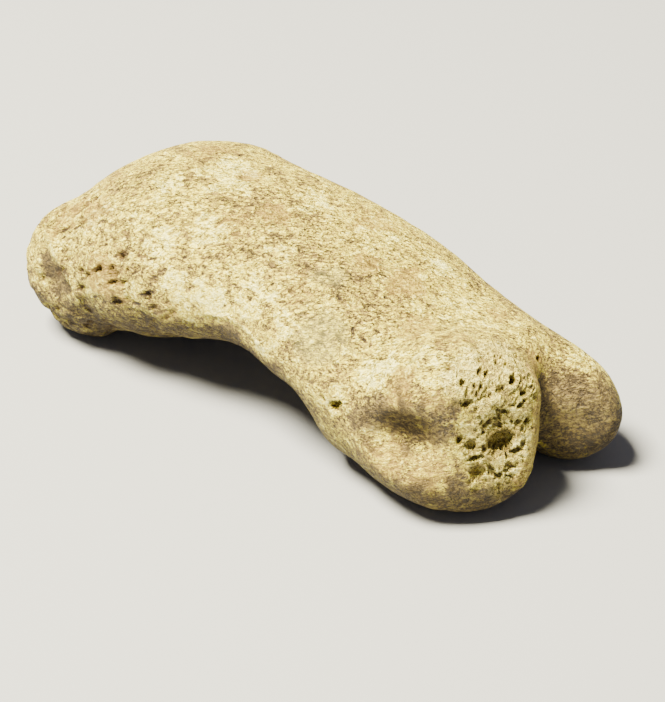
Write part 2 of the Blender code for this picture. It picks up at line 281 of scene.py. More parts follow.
# Hollows and lower edges that the finish darkens to brown, in the same terms: partly soil left in them,
# partly painted shade in the hollows and along the lower edges.
SOILED_AND_SHADED_PATCHES = [
    (mm(45.0, -9.7, 9.8), 0.0028, 0.9), (mm(46.6, -9.0, 10.0), 0.0030, 1.0),
    (mm(48.8, -8.7, 10.4), 0.0026, 1.0), (mm(50.2, -7.9, 9.4), 0.0020, 0.9),
    (mm(43.6, -10.2, 9.0), 0.0020, 0.8), (mm(47.6, -8.6, 8.6), 0.0022, 0.8),
    (mm(50.0, -7.4, 11.0), 0.0016, 0.7), (mm(44.0, -10.6, 7.6), 0.0016, 0.5),
    (mm(55.4, 6.4, 6.4), 0.0042, 1.0), (mm(53.6, 4.7, 7.9), 0.0038, 1.0),
    (mm(54.4, 5.1, 4.3), 0.0042, 1.0), (mm(52.4, 4.2, 9.4), 0.0024, 0.9),
    (mm(56.1, 7.4, 4.0), 0.0036, 1.0), (mm(56.4, 9.2, 4.4), 0.0030, 0.8),
    (mm(51.6, -7.4, 2.4), 0.0036, 0.9), (mm(54.6, -4.4, 1.9), 0.0030, 0.9),
    (mm(53.0, -6.0, 2.2), 0.0030, 0.9), (mm(5.4, -12.0, 9.0), 0.0026, 1.0),
    (mm(6.4, -12.0, 7.8), 0.0022, 1.0), (mm(7.6, -11.9, 6.0), 0.0022, 0.8),
    (mm(9.4, -10.6, 3.8), 0.0026, 0.8), (mm(14.8, -10.2, 5.4), 0.0034, 0.9),
    (mm(20.4, -10.0, 7.0), 0.0032, 0.9), (mm(27.0, -9.0, 8.6), 0.0040, 0.9),
    (mm(33.0, -9.6, 7.6), 0.0038, 0.8), (mm(48.0, -9.4, 2.6), 0.0034, 0.8),
    (mm(44.0, -9.6, 3.4), 0.0034, 0.6), (mm(12.0, -11.4, 4.4), 0.0036, 0.6),
]

# Soil and painted shade also lie on the base's rough lower edge, and painted shade lies on what faces down
# and on the side that faces the base, far and down, turned from the camera and the lamp: how much there is
# on each, and how far round it starts and is full.
PAINTED_SHADE_SIDE = np.array([-0.555, 0.616, -0.559])
SOIL_AND_SHADE_ON_LOW_EDGE = 0.5
PAINTED_SHADE_UNDERNEATH = 0.75
PAINTED_SHADE_ON_TURNED_SIDE = 0.9
SHADE_TURN_DOWN = (-0.1, 0.7)
SHADE_TURN_SIDE = (0.0, 0.6)

# Fine dark lines, slits and marks that the finish draws: place, way along, half length, half width.
DARK_MARKS = [
    # slits of the base's pores
    (mm(12.0, -12.3, 12.0), (0.79, 0.0, 0.61), 0.0012, 0.00026),
    (mm(12.9, -12.2, 12.3), (0.79, 0.0, 0.61), 0.0004, 0.00014),
    (mm(14.4, -11.2, 14.2), (0.79, 0.0, 0.61), 0.0011, 0.00022),
    (mm(13.6, -12.0, 12.8), (0.79, 0.0, 0.61), 0.0008, 0.00020),
    (mm(18.0, -11.7, 11.6), (0.85, 0.0, 0.52), 0.0011, 0.00024),
    (mm(14.4, -12.2, 9.4), (0.92, 0.0, 0.38), 0.0012, 0.00022),
    (mm(13.8, -12.3, 11.2), (0.85, 0.0, 0.52), 0.0006, 0.00016),
    (mm(15.2, -12.1, 11.0), (0.85, 0.0, 0.52), 0.0005, 0.00013),
    (mm(12.4, -12.3, 10.6), (0.88, 0.0, 0.46), 0.0005, 0.00015),
    (mm(11.0, -12.4, 11.0), (0.85, 0.0, 0.52), 0.0005, 0.00014),
    (mm(16.4, -11.6, 13.2), (0.8, 0.0, 0.6), 0.0006, 0.00013),
    (mm(17.6, -10.4, 14.6), (0.8, 0.0, 0.6), 0.0006, 0.00012),
    (mm(6.6, -7.8, 15.5), (0.5, 0.3, 0.72), 0.0012, 0.00026),
    (mm(7.4, -10.2, 14.1), (0.66, 0.35, 0.66), 0.0012, 0.00017),
    (mm(5.6, -10.5, 13.1), (0.66, 0.35, 0.66), 0.0011, 0.00017),
    (mm(8.6, -8.4, 15.5), (0.66, 0.35, 0.66), 0.0009, 0.00022),
    (mm(5.9, -9.0, 14.4), (0.66, 0.35, 0.66), 0.0009, 0.00022),
    (mm(10.2, -9.8, 15.2), (0.7, 0.3, 0.6), 0.0008, 0.0002),
    (mm(16.6, -12.1, 10.0), (0.9, 0.0, 0.4), 0.0008, 0.00022),
    (mm(12.0, -12.3, 9.2), (0.9, 0.0, 0.4), 0.0008, 0.0002),
    (mm(19.6, -11.3, 10.2), (0.9, 0.0, 0.4), 0.0007, 0.0002),
    # scratches and cracks of the shaft
    (mm(39.6, -6.2, 13.7), (0.86, -0.1, -0.3), 0.0010, 0.00018),
    (mm(38.6, -6.4, 13.9), (0.5, -0.8, -0.3), 0.0005, 0.00016),
    (mm(40.5, -6.1, 13.4), (0.4, -0.8, -0.2), 0.0004, 0.00014),
    (mm(34.7, 0.6, 16.0), (0.95, -0.1, -0.25), 0.0011, 0.00014),
    (mm(36.2, 0.4, 15.6), (0.8, 0.4, -0.25), 0.0007, 0.00014),
]
PALE_MARKS = [
    (mm(5.4, -11.8, 11.0), (0.72, 0.0, -0.69), 0.0016, 0.00028),
    (mm(7.8, -12.3, 9.3), (0.8, 0.0, -0.6), 0.0014, 0.00030),
    (mm(25.4, -10.0, 11.9), (0.97, 0.0, 0.22), 0.0019, 0.00024),
    (mm(28.6, -9.9, 11.8), (0.98, 0.0, -0.2), 0.0019, 0.00026),
    (mm(31.0, -10.2, 11.1), (0.93, 0.0, -0.36), 0.0014, 0.00028),
    (mm(27.8, -8.2, 14.8), (0.99, 0.05, 0.0), 0.0018, 0.00015),
    (mm(31.4, -8.3, 14.5), (0.98, -0.12, -0.15), 0.0020, 0.00015),
    (mm(35.0, -8.8, 13.5), (0.94, -0.1, -0.3), 0.0016, 0.00015),
    (mm(37.5, 6.6, 14.6), (0.93, 0.12, -0.34), 0.0014, 0.00036),
]

# Where the camera stands, as an angle round the bone and one above the horizon.
# It looks at a point a little off the bone's middle, and is turned a little off level.
VIEW_ROUND = np.radians(42.0)
VIEW_ABOVE = np.radians(34.0)
VIEW_DISTANCE = 0.19
VIEW_MIDDLE = mm(27.5, 0.0, 8.5)
VIEW_SLIDE_RIGHT = 0.0022
VIEW_SLIDE_UP = -0.00395
VIEW_ROLL = np.radians(0.15)
PIXELS_PER_METRE = 10650.0
IMAGE_HEIGHT = 702
SENSOR_SIZE = 36.0

# The lamp is warm white, the light from all round it cooler.
LAMP_COLOUR = (1.0, 0.90, 0.60)
LAMP_PLACE = mm(-120, -180, 500)
LAMP_AIM = mm(0, 0, 8)
LAMP_SIZE = 0.18
LAMP_POWER = 35.0
DAYLIGHT_COLOUR = (0.88, 0.82, 0.78)
DAYLIGHT_STRENGTH = 0.32

TABLE_COLOUR = (0.24, 0.252, 0.30, 1.0)
TABLE_HALF = 1.5
TABLE_LEVEL = -0.00003


# The smooth form of the bone

def blend_union(first, second, width):
    """The lower of two fields, with the crease between them filled in over a width."""
    share = np.clip(0.5 + 0.5 * (second - first) / width, 0.0, 1.0)
    return second + (first - second) * share - width * share * (1.0 - share)


def blend_cut(solid, hollow, width):
    """A solid with a hollow taken out of it, the rim rounded over a width."""
    return -blend_union(-solid, hollow, width)


def ellipsoid(points, centre, radii, lean):
    """Distance to an ellipsoid, nearly: k(k - 1)/s, with k the point's length over the radii
    and s its length over their squares, after a lean about the cross axis."""
    angle = np.radians(lean)
    turn = np.array([
        [np.cos(angle), 0.0, np.sin(angle)],
        [0.0, 1.0, 0.0],
        [-np.sin(angle), 0.0, np.cos(angle)],
    ])
    offset = (points - centre) @ turn
    unit = np.sqrt(((offset / radii) ** 2).sum(axis=-1))
    slope = np.sqrt(((offset / radii**2) ** 2).sum(axis=-1))
    return unit * (unit - 1.0) / np.maximum(slope, 1e-6)


def between_stations(along, values):
    """A cubic curve through one value at each station, with the slopes of its neighbours."""
    tangents = np.gradient(values, STATION_PLACE)
    index = np.clip(np.searchsorted(STATION_PLACE, along) - 1, 0, len(values) - 2)
    length = STATION_PLACE[index + 1] - STATION_PLACE[index]
    t = np.clip((along - STATION_PLACE[index]) / length, 0.0, 1.0)
    start = (2 * t**3 - 3 * t**2 + 1) * values[index]
    start_pull = (t**3 - 2 * t**2 + t) * length * tangents[index]
    end = (3 * t**2 - 2 * t**3) * values[index + 1]
    end_pull = (t**3 - t**2) * length * tangents[index + 1]
    return start + start_pull + end + end_pull


def section_place(points):
    """Where a point lies in the section of the shaft: -1 to 1 across it and -1 to 1 up it,
    and the section's half width and half height."""
    along = points[..., 0]
    near = between_stations(along, STATION_NEAR)
    far = between_stations(along, STATION_FAR)
    back = between_stations(along, STATION_BACK)
    under = between_stations(along, STATION_UNDER)
    half_width = (far + near) / 2
    half_height = (back - under) / 2
    across = (points[..., 1] - (far - near) / 2) / half_width
    upward = (points[..., 2] - (back + under) / 2) / half_height
    return across, upward, half_width, half_height


def shaft(points):
    """Sections whose outline is |across|^p + |up|^p = 1, closed at both ends with rounded edges."""
    across, upward, half_width, half_height = section_place(points)
    power = SECTION_SQUARENESS
    radius = (np.abs(across) ** power + np.abs(upward) ** power) ** (1.0 / power)
    side = (radius - 1.0) * np.minimum(half_width, half_height)
    along = points[..., 0]
    closed_at_base = blend_cut(side, along - STATION_PLACE[0], BASE_END_ROUNDING)
    return blend_cut(closed_at_base, STATION_PLACE[-1] - along, HEAD_END_ROUNDING)


def broken_corner(points):
    """Negative in the corner that is missing: beyond the break and outside the ridge."""
    normal = BREAK_NORMAL / np.linalg.norm(BREAK_NORMAL)
    inside_break = -((points - BREAK_POINT) @ normal)
    past_ridge = points[..., 1] - BREAK_RIDGE
    return -blend_union(-inside_break, -past_ridge, BREAK_SOFTNESS)


def smooth_bone(points):
    """The bone's smooth form: negative inside. Shaft, then lobes added, then hollows cut."""
    field = shaft(points)
    for centre, radii, lean, width in LOBES.values():
        field = blend_union(field, ellipsoid(points, centre, radii, lean), width)
    for centre, radii, lean, width in HOLLOWS.values():
        field = blend_cut(field, ellipsoid(points, centre, radii, lean), width)
    field = blend_cut(field, broken_corner(points), BREAK_EDGE)
    for centre, radii, lean, width in BREAK_HOLLOWS.values():
        field = blend_cut(field, ellipsoid(points, centre, radii, lean), width)
    return field


# The grid of the skin

def core_line(along):
    """A point of the core line at each place along the bone: straight, then eased to one side."""
    t = np.clip((along - CORE_DRIFT_START) / (CORE_END - CORE_DRIFT_START), 0.0, 1.0)
    drift = (t * t * (3.0 - 2.0 * t))[..., None] * CORE_DRIFT
    straight = np.stack([along, np.zeros_like(along), np.full_like(along, CORE_HEIGHT)], axis=-1)
    return straight + drift


def skin_spokes():
    """Start and direction of each spoke, ring by ring, then the two tips. The first parameter
    runs along the core and tilts the rings of the fans from 90 degrees to 0, the second turns."""
    base_fan = np.linspace(-np.pi / 2, 0.0, RINGS_IN_BASE_FAN + 2)[1:-1]
    head_fan = np.linspace(0.0, np.pi / 2, RINGS_IN_HEAD_FAN + 2)[1:-1]
    t = np.linspace(0.0, 1.0, RINGS_ALONG_CORE)
    crowded = t - RING_CROWDING * np.sin(2 * np.pi * t) / (2 * np.pi)
    tilt = np.concatenate([base_fan, np.zeros(RINGS_ALONG_CORE), head_fan])
    along = np.concatenate([
        np.full(RINGS_IN_BASE_FAN, CORE_START),
        CORE_START + (CORE_END - CORE_START) * crowded,
        np.full(RINGS_IN_HEAD_FAN, CORE_END),
    ])
    around = np.arange(SPOKES_PER_RING) * 2 * np.pi / SPOKES_PER_RING
    around = around - SPOKE_CROWDING * np.sin(around - SPOKE_CROWDING_ANGLE)
    tilt, around = np.meshgrid(tilt, around, indexing="ij")
    directions = np.stack([
        np.sin(tilt),
        np.cos(tilt) * np.cos(around),
        np.cos(tilt) * np.sin(around),
    ], axis=-1)
    starts = np.repeat(core_line(along)[:, None], SPOKES_PER_RING, axis=1)
    tips = core_line(np.array([CORE_START, CORE_END]))
    starts = np.vstack([starts.reshape(-1, 3), tips])
    directions = np.vstack([directions.reshape(-1, 3), [[-1.0, 0.0, 0.0], [1.0, 0.0, 0.0]]])
    return starts, directions


def skin_points(starts, directions):
    """Step out along each spoke to the first point outside the form, then halve the last step."""
    inner = np.zeros(len(starts))
    outer = np.full(len(starts), SPOKE_REACH)
    searching = np.ones(len(starts), dtype=bool)
    for step in range(1, SPOKE_STEPS + 1):
        reach = SPOKE_REACH * step / SPOKE_STEPS
        active = np.flatnonzero(searching)
        if not len(active):
            break
        outside = smooth_bone(starts[active] + directions[active] * reach) > 0.0
        outer[active[outside]] = reach
        searching[active[outside]] = False
        inner[active[~outside]] = reach
    for _ in range(SPOKE_HALVINGS):
        middle = (inner + outer) / 2
        inside = smooth_bone(starts + directions * middle[:, None]) < 0.0
        inner = np.where(inside, middle, inner)
        outer = np.where(inside, outer, middle)
    return starts + directions * ((inner + outer) / 2)[:, None]


def outward(points, step=0.00004):
    """The way out of the form at each point: its slope, from values a small step to either side."""
    slope = np.stack([
        smooth_bone(points + step * axis) - smooth_bone(points - step * axis) for axis in np.eye(3)
    ], axis=-1)
    return slope / np.linalg.norm(slope, axis=-1, keepdims=True)


def skin_faces(rings):
    """Two triangles between neighbouring spokes of neighbouring rings, and a fan round each tip."""
    spoke = np.arange(SPOKES_PER_RING)
    following = (spoke + 1) % SPOKES_PER_RING
    first = np.arange(rings - 1)[:, None] * SPOKES_PER_RING
    a = (first + spoke).ravel()
    b = (first + following).ravel()
    c = b + SPOKES_PER_RING
    d = a + SPOKES_PER_RING
    base_tip = np.full(SPOKES_PER_RING, rings * SPOKES_PER_RING)
    head_tip = base_tip + 1
    last = (rings - 1) * SPOKES_PER_RING
    return np.vstack([
        np.stack([a, b, c], axis=1),
        np.stack([a, c, d], axis=1),
        np.stack([base_tip, following, spoke], axis=1),
        np.stack([head_tip, last + spoke, last + following], axis=1),
    ])


# Patterns for the relief

HASH_STRIDES = np.array([73856093, 19349663, 83492791], dtype=np.int64)
HASH_SEED_STRIDE = 1540483477
HASH_MIXER = 73244475
HASH_RANGE = 2**32


def lattice_number(corner, seed):
    """A number from 0 to 1 for each lattice corner, the same each time: the whole coordinates
    times large odd numbers, mixed bit by bit."""
    strides = corner.astype(np.int64) * HASH_STRIDES
    number = strides[..., 0] ^ strides[..., 1] ^ strides[..., 2] ^ (seed * HASH_SEED_STRIDE)
    for _ in range(2):
        number = number & (HASH_RANGE - 1)
        number = (number ^ (number >> 16)) * HASH_MIXER
    number = number & (HASH_RANGE - 1)
    return (number ^ (number >> 16)) / HASH_RANGE


def rolling(points, size, seed):
    """Rolling noise from -1 to 1: lattice numbers a size apart, eased between the corners."""
    scaled = points / size
    corner = np.floor(scaled)
    share = scaled - corner
    share = share * share * (3.0 - 2.0 * share)
    total = np.zeros(len(points))
    for step in itertools.product((0, 1), repeat=3):
        weight = np.where(step, share, 1.0 - share).prod(axis=-1)
        total += weight * lattice_number(corner + step, seed)
    return 2.0 * total - 1.0


def cells(points, size, seed):
    """Cells round points strewn one to each cube of a size: the distance to the nearest point
    and how much farther the second is, in sizes, and the nearest cell's own number."""
    scaled = points / size
    corner = np.floor(scaled)
    nearest = np.full(len(points), 9.0)
    second = np.full(len(points), 9.0)
    own = np.zeros(len(points))
    for step in itertools.product((-1, 0, 1), repeat=3):
        cube = corner + step
        strewn = np.stack([lattice_number(cube, seed + axis) for axis in range(3)], axis=-1)
        away = np.linalg.norm(cube + strewn - scaled, axis=-1)
        closer = away < nearest
        second = np.where(closer, nearest, np.minimum(second, away))
        own = np.where(closer, lattice_number(cube, seed + 3), own)
        nearest = np.where(closer, away, nearest)
    return nearest, second - nearest, own


def rise(low, high, value):
    """0 below low, 1 above high, eased between them."""
    t = np.clip((value - low) / (high - low), 0.0, 1.0)
    return t * t * (3.0 - 2.0 * t)


def distance_to_line(points, line):
    """The distance from each point to a line of straight pieces."""
    best = np.full(len(points), 9.0)
    for start, end in zip(line[:-1], line[1:]):
        way = end - start
        t = np.clip((points - start) @ way / (way @ way), 0.0, 1.0)
        best = np.minimum(best, np.linalg.norm(points - start - t[:, None] * way, axis=-1))
    return best


def lumps(points, height_and_size, seed):
    """Rolling lumps of a height, up and down, and of a size."""
    height, size = height_and_size
    return height * rolling(points, size, seed)


def raggedness(points, noises, seed):
    """How far an edge is shifted at each point: a coarse and a fine noise added up."""
    return lumps(points, noises[0], seed) + lumps(points, noises[1], seed + 1)


def patches(points, places):
    """How strongly each point lies in a round patch: the patch's strength at its middle,
    fading to 0 at its radius, the edge broken up by noise."""
    ragged = raggedness(points, PATCH_RAGGEDNESS, 61)
    total = np.zeros(len(points))
    for place, radius, strength in places:
        away = np.linalg.norm(points - place, axis=-1) / radius + ragged
        total = np.maximum(total, strength * (1.0 - rise(*PATCH_FADE, away)))
    return total


def holes(points, way_out):
    """Depth of the holes modelled one by one, and how far into a hole each point is, 0 to 1,
    measured along the skin. A hole's bottom is flat to half its radius, its wall rises to the rim."""
    depth = np.zeros(len(points))
    inside = np.zeros(len(points))
    ragged = lumps(points, HOLE_RAGGEDNESS, 71)
    for place, way, half_length, half_width, hole_depth in HOLES:
        way = np.array(way) / np.linalg.norm(way)
        offset = points - place
        off_skin = (offset * way_out).sum(axis=-1, keepdims=True)
        offset = offset - np.where(np.abs(off_skin) < HOLE_SKIN_GAP, off_skin, 0.0) * way_out
        along = offset @ way
        aside = np.linalg.norm(offset - along[:, None] * way, axis=-1)
        radius = np.sqrt((along / half_length) ** 2 + (aside / half_width) ** 2) + ragged
        share = 1.0 - rise(*HOLE_WALL, radius)
        depth = np.maximum(depth, hole_depth * share)
        inside = np.maximum(inside, share)
    return depth, inside


def rim_share(points):
    """1 on the smooth rim between the broken corner and the groove of the head, 0 away from it."""
    return 1.0 - rise(*RIM_REACH, distance_to_line(points, RIM_LINE))


def spongy_share(points):
    """1 where the outer bone is gone and the spongy inside shows, with a ragged edge."""
    offset = points - SPONGY_MIDDLE
    along = offset @ SPONGY_ALONG
    ragged = raggedness(points, SPONGY_RAGGEDNESS, 51)
    total = np.zeros(len(points))
    for (middle, height), (half_length, half_height) in SPONGY_PATCHES:
        away = np.hypot((along - middle) / half_length, (points[:, 2] - height) / half_height)
        total = np.maximum(total, 1.0 - rise(*SPONGY_FADE, away + ragged))
    on_the_head = rise(*SPONGY_START, points[:, 0])
    near_side = 1.0 - rise(*SPONGY_FAR_EDGE, points[:, 1])
    return total * on_the_head * near_side * (1.0 - rim_share(points))


def spongy_height(points):
    """Height of the bared spongy bone: walls between bent cells of two sizes stand up, open cells
    are deep, and the whole is uneven. Also how far into a cell each point is."""
    bend = np.stack([lumps(points, SPONGY_CELL_BEND, 31 + axis) for axis in range(3)], axis=-1)
    fine_bend = np.stack([lumps(points, SPONGY_FINE_BEND, 35 + axis) for axis in range(3)], axis=-1)
    bent_points = points + bend + fine_bend
    _, wall, own = cells(bent_points, SPONGY_CELL, 41)
    _, fine_wall, fine_own = cells(bent_points, SPONGY_FINE_CELL, 45)
    is_open = rise(0.55, 0.85, own)
    cell = rise(*SPONGY_CELL_WALL, wall) * (0.12 + 0.88 * is_open)
    fine = rise(*SPONGY_FINE_WALL, fine_wall) * rise(0.35, 0.65, fine_own)
    height = SPONGY_LEVEL + lumps(points, SPONGY_UNEVENNESS, 47)
    height -= SPONGY_CELL_DEPTH * cell + SPONGY_FINE_DEPTH * fine
    return height, np.clip(0.75 * cell * is_open + 0.30 * fine, 0.0, 1.0)


def base_roughness(points):
    """1 where the base is pitted: on its near side, and along its lower edge."""
    side = 1.0 - rise(*PITTED_END, points[:, 0])
    side = side * rise(*PITTED_SIDE, -points[:, 1])
    edge = 1.0 - rise(*LOW_EDGE_HEIGHT, points[:, 2])
    edge = edge * rise(*LOW_EDGE_SIDE, -points[:, 1])
    edge = edge * (1.0 - rise(*LOW_EDGE_END, points[:, 0]))
    return side, edge


def pore_depth(points, share):
    """Strewn pores of the base, long along the fibres: a cell's middle is a pore where its own
    number is high."""
    nearest, _, own = cells(points @ PORE_TURN * PORE_SQUEEZE, PORE_CELL, 81)
    pore = (1.0 - rise(*PORE_WALL, nearest)) * rise(*PORE_CHOICE, own) * share
    return PORE_DEPTH * pore, pore


def relief(points, way_out):
    """The skin's points after the relief, what the finish needs to know at each of them, and
    coordinates along the grain: the place along the bone and that in its section."""
    across, upward, _, _ = section_place(points)
    grain = np.stack([points[:, 0], across * GRAIN_HALF_WIDTH, upward * GRAIN_HALF_HEIGHT], axis=-1)
    spongy = spongy_share(points)
    plain = 1.0 - spongy
    rim = rim_share(points)
    pitted, low_edge = base_roughness(points)
    hole_depth, in_hole = holes(points, way_out)
    spongy_rise, in_cell = spongy_height(points)
    strewn_depth, in_pore = pore_depth(points, pitted)

    height = lumps(points, BROAD_LUMPS, 1) + lumps(points, LUMPS, 2)
    height += plain * (1.0 - rim) * lumps(points, SMALL_LUMPS, 3)
    height += plain * lumps(grain * FIBRE_SQUEEZE, FIBRES, 4)
    pitting = lumps(grain * COARSE_PITTING_SQUEEZE, COARSE_PITTING, 5)
    pitting += lumps(grain * FINE_PITTING_SQUEEZE, FINE_PITTING, 6)
    height += (pitted + low_edge) * plain * pitting
    for crest, half_width, ridge_height in RIDGES.values():
        height += ridge_height * (1.0 - rise(0.1, 1.0, distance_to_line(points, crest) / half_width))
    height += RIM_HEIGHT * rim + spongy * spongy_rise - strewn_depth - hole_depth

    moved = points + height[:, None] * way_out
    moved[:, 2] = np.maximum(moved[:, 2], 0.0)
    # Soil and painted shade: brown in the hollows and on the lower edge, painted shade on what faces down
    # and on the side turned from the camera.
    soil_and_shade = [
        patches(points, SOILED_AND_SHADED_PATCHES),
        SOIL_AND_SHADE_ON_LOW_EDGE * low_edge,
        PAINTED_SHADE_UNDERNEATH * rise(*SHADE_TURN_DOWN, -way_out[:, 2]),
        PAINTED_SHADE_ON_TURNED_SIDE * rise(*SHADE_TURN_SIDE, way_out @ PAINTED_SHADE_SIDE),
    ]
    facts = {
        "spongy": spongy,
        "rim": rim,
        "rough": np.clip(pitted + low_edge, 0.0, 1.0),
        # How far into a hole, cell or pore: the finish darkens there, partly for dirt, partly as painted
        # shade.
        "hollow": np.clip(np.max([in_hole, spongy * in_cell, 0.9 * in_pore], axis=0), 0.0, 1.0),
        "pale": patches(points, PALE_PATCHES),
        "stain": patches(points, BROWN_STAINS),
        "grey": patches(points, GREY_PATCHES),
        "soil_and_shade": np.max(soil_and_shade, axis=0),
    }
    return moved, facts, grain


# The finish

def add_node(tree, kind, inputs=None, **settings):
    """A node with its settings made and its inputs linked to a socket or set to a value."""
    node = tree.nodes.new(kind)
    for name, value in settings.items():
        setattr(node, name, value)
    for name, value in (inputs or {}).items():
        if isinstance(value, bpy.types.NodeSocket):
            tree.links.new(value, node.inputs[name])
        else:
            node.inputs[name].default_value = value
    return node


def maths(tree, operation, first, second=0.0):
    """One step of arithmetic."""
    return add_node(tree, "ShaderNodeMath", {0: first, 1: second}, operation=operation).outputs[0]


def eased(tree, value, low, high, start=0.0, end=1.0):
    """From start, where a value is below low, to end, where it is above high, eased between them."""
    node = add_node(tree, "ShaderNodeMapRange", {
        "Value": value, "From Min": low, "From Max": high, "To Min": start, "To Max": end,
    }, interpolation_type="SMOOTHSTEP")
    return node.outputs[0]


def tint(tree, share, under, over):
    """Two colours mixed by a share."""
    return add_node(tree, "ShaderNodeMix", {0: share, 6: under, 7: over}, data_type="RGBA").outputs[2]


def clouds(tree, place, size, detail=3.0, roughness=0.55, warp=0.0):
    """Soft noise whose largest lumps have a size."""
    node = add_node(tree, "ShaderNodeTexNoise", {
        "Vector": place, "Scale": 1.0 / size, "Detail": detail, "Roughness": roughness, "Distortion": warp,
    })
    return node.outputs[0]


def squeezed(tree, place, along, turn=0.0):
    """Coordinates squeezed along one level direction, so that a pattern on them is drawn out that way."""
    return add_node(tree, "ShaderNodeMapping", {
        "Vector": place, "Rotation": (0.0, 0.0, turn), "Scale": (1.0 / along, 1.0, 1.0),
    }, vector_type="TEXTURE").outputs[0]


def bent(tree, place, size, reach):
    """Coordinates bent to and fro by soft noise of a size, so that a pattern on them is crooked."""
    noise = add_node(tree, "ShaderNodeTexNoise", {"Vector": place, "Scale": 1.0 / size, "Detail": 2.0})
    swing = add_node(tree, "ShaderNodeVectorMath", {
        0: noise.outputs["Color"], 1: (0.5, 0.5, 0.5),
    }, operation="SUBTRACT").outputs[0]
    return add_node(tree, "ShaderNodeVectorMath", {
        0: swing, 1: (reach, reach, reach), 2: place,
    }, operation="MULTIPLY_ADD").outputs[0]


# How far under the skin and over it a mark reaches at least.
LEAST_MARK_DEPTH = 0.0006


def marks(tree, place, bone_middle, list_of_marks):
    """1 inside any of some long thin marks and 0 outside them. Each has coordinates of its own,
    laid on the skin, in which it is a ball of radius 1."""
    normals = outward(np.array([middle for middle, *_ in list_of_marks]))
    wavy = bent(tree, place, 0.0005, 0.0005)
    total = None
    for (middle, way, half_length, half_width), normal in zip(list_of_marks, normals):
        along = np.array(way) - (np.array(way) @ normal) * normal
        along = along / np.linalg.norm(along)
        axes = np.stack([along, np.cross(normal, along), normal], axis=1)
        own = add_node(tree, "ShaderNodeMapping", {
            "Vector": wavy, "Location": tuple(middle - bone_middle),
            "Rotation": tuple(Matrix(axes.tolist()).to_euler()),
            "Scale": (half_length, half_width, max(half_length, LEAST_MARK_DEPTH)),
        }, vector_type="TEXTURE").outputs[0]
        away = add_node(tree, "ShaderNodeVectorMath", {0: own}, operation="LENGTH").outputs["Value"]
        share = eased(tree, away, 0.55, 1.25, 1.0, 0.0)
        total = share if total is None else maths(tree, "MAXIMUM", total, share)
    return total


def winding_line(tree, place, size, width):
    """Thin winding lines: where soft noise of a size crosses its middle value, within a width."""
    level = clouds(tree, place, size, 3.0, 0.6)
    away = maths(tree, "ABSOLUTE", maths(tree, "SUBTRACT", level, 0.5))
    return eased(tree, away, 0.15 * width, width, 1.0, 0.0)


# The finish's tones from the darkest hollows to chalky worn bone, each with its share of the scale.
TONES = [
    (0.00, (0.036, 0.023, 0.012)),
    (0.20, (0.120, 0.080, 0.026)),
    (0.40, (0.29, 0.208, 0.058)),
    (0.58, (0.57, 0.460, 0.044)),
    (0.76, (0.83, 0.735, 0.055)),
    (0.98, (0.96, 0.92, 0.36)),
]
RUST = (0.40, 0.265, 0.045, 1.0)
# Dark brown inside the holes and open cells: partly dirt, partly painted shade.
CELL_BROWN = (0.15, 0.092, 0.036, 1.0)
SPONGY_CREAM = (0.80, 0.66, 0.20, 1.0)
# Browns of the soil and of the painted shade, laid over the tones.
SOIL_AND_SHADE_BROWN = (0.050, 0.034, 0.015, 1.0)
SOIL_AND_SHADE_TAN = (0.175, 0.124, 0.048, 1.0)
PUTTY = (0.40, 0.37, 0.12, 1.0)
RIM_TAN = (0.38, 0.255, 0.065, 1.0)

# Colours laid over the tones in turn, each by this share of the fact it goes by.
TINTS = [
    ("spongy", 0.35, SPONGY_CREAM),
    ("hollow", 0.72, CELL_BROWN),
    ("grey", 0.45, PUTTY),
    ("rim", 0.60, RIM_TAN),
]

# How far each pattern moves the bone up or down the scale of tones from the middle one:
# patterns that go both ways, fine ones that are stronger on rough bone and where soil and painted shade
# lie, and then patterns and facts that only lighten or only darken.
MIDDLE_TONE = 0.615
TONE_SWINGS = {"broad": 0.75, "mottle": 0.85}
FINE_SWINGS = {"flakes": 1.45, "grit": 1.75}
FINE_SHIFTS = {"fine_wrinkle": -0.32}
TONE_SHIFTS = {
    "wrinkle": -0.36,
    "dark_fibre": -0.05,
    "dark_speck": -0.34,
    "strewn_worn": 0.16,
    "pale_patch": 0.26,
    # Soil and painted shade darken the tone.
    "soil_and_shade": -0.26,
    "spongy": 0.30,
    "gap": -0.36,
    # Holes, cells and pores darken the tone: partly dirt, partly painted shade.
    "hollow": -0.24,
    "pale_line": 0.30,
    "dark_line": -0.50,
}

# The same for the fine relief, as shares of its depth.
FINE_RELIEF_DEPTH = 0.00042
RELIEF_SWINGS = {"grit": 1.2, "flakes": 2.6, "mottle": 1.2}
RELIEF_SHIFTS = {
    "wrinkle": -1.1,
    "fine_wrinkle": -0.8,
    "dark_speck": -0.8,
    "dark_line": -0.8,
    "gap": -2.4,
}

# The worn outer layer flakes and wrinkles slantwise, this far round from the bone's length.
FLAKE_SLANT = np.radians(40.0)

# Sizes of the patterns.
BROAD_SIZE = 0.0055
MOTTLE_SIZE = 0.0015
FLAKE_SIZE = 0.00050
GRIT_SIZE = 0.00024
WRINKLE_SIZE = 0.00080
FINE_WRINKLE_SIZE = 0.00042
FIBRE_SIZE = 0.00040
SPECK_SPACING = 0.00085
STREWN_WORN_SIZE = 0.0028
LACE_CELL = 0.00055
LACE_PATCH = 0.0009


def tone_scale(tree, tone):
    """The colour of each tone."""
    node = add_node(tree, "ShaderNodeValToRGB", {"Fac": tone})
    ramp = node.color_ramp
    while len(ramp.elements) < len(TONES):
        ramp.elements.new(0.5)
    for element, (place, colour) in zip(ramp.elements, TONES):
        element.position = place
        element.color = (*colour, 1.0)
    return node.outputs["Color"]


def scaled(tree, value, gain):
    """A pattern made stronger or weaker, or turned to the other side of nothing."""
    return maths(tree, "MULTIPLY", value, gain)


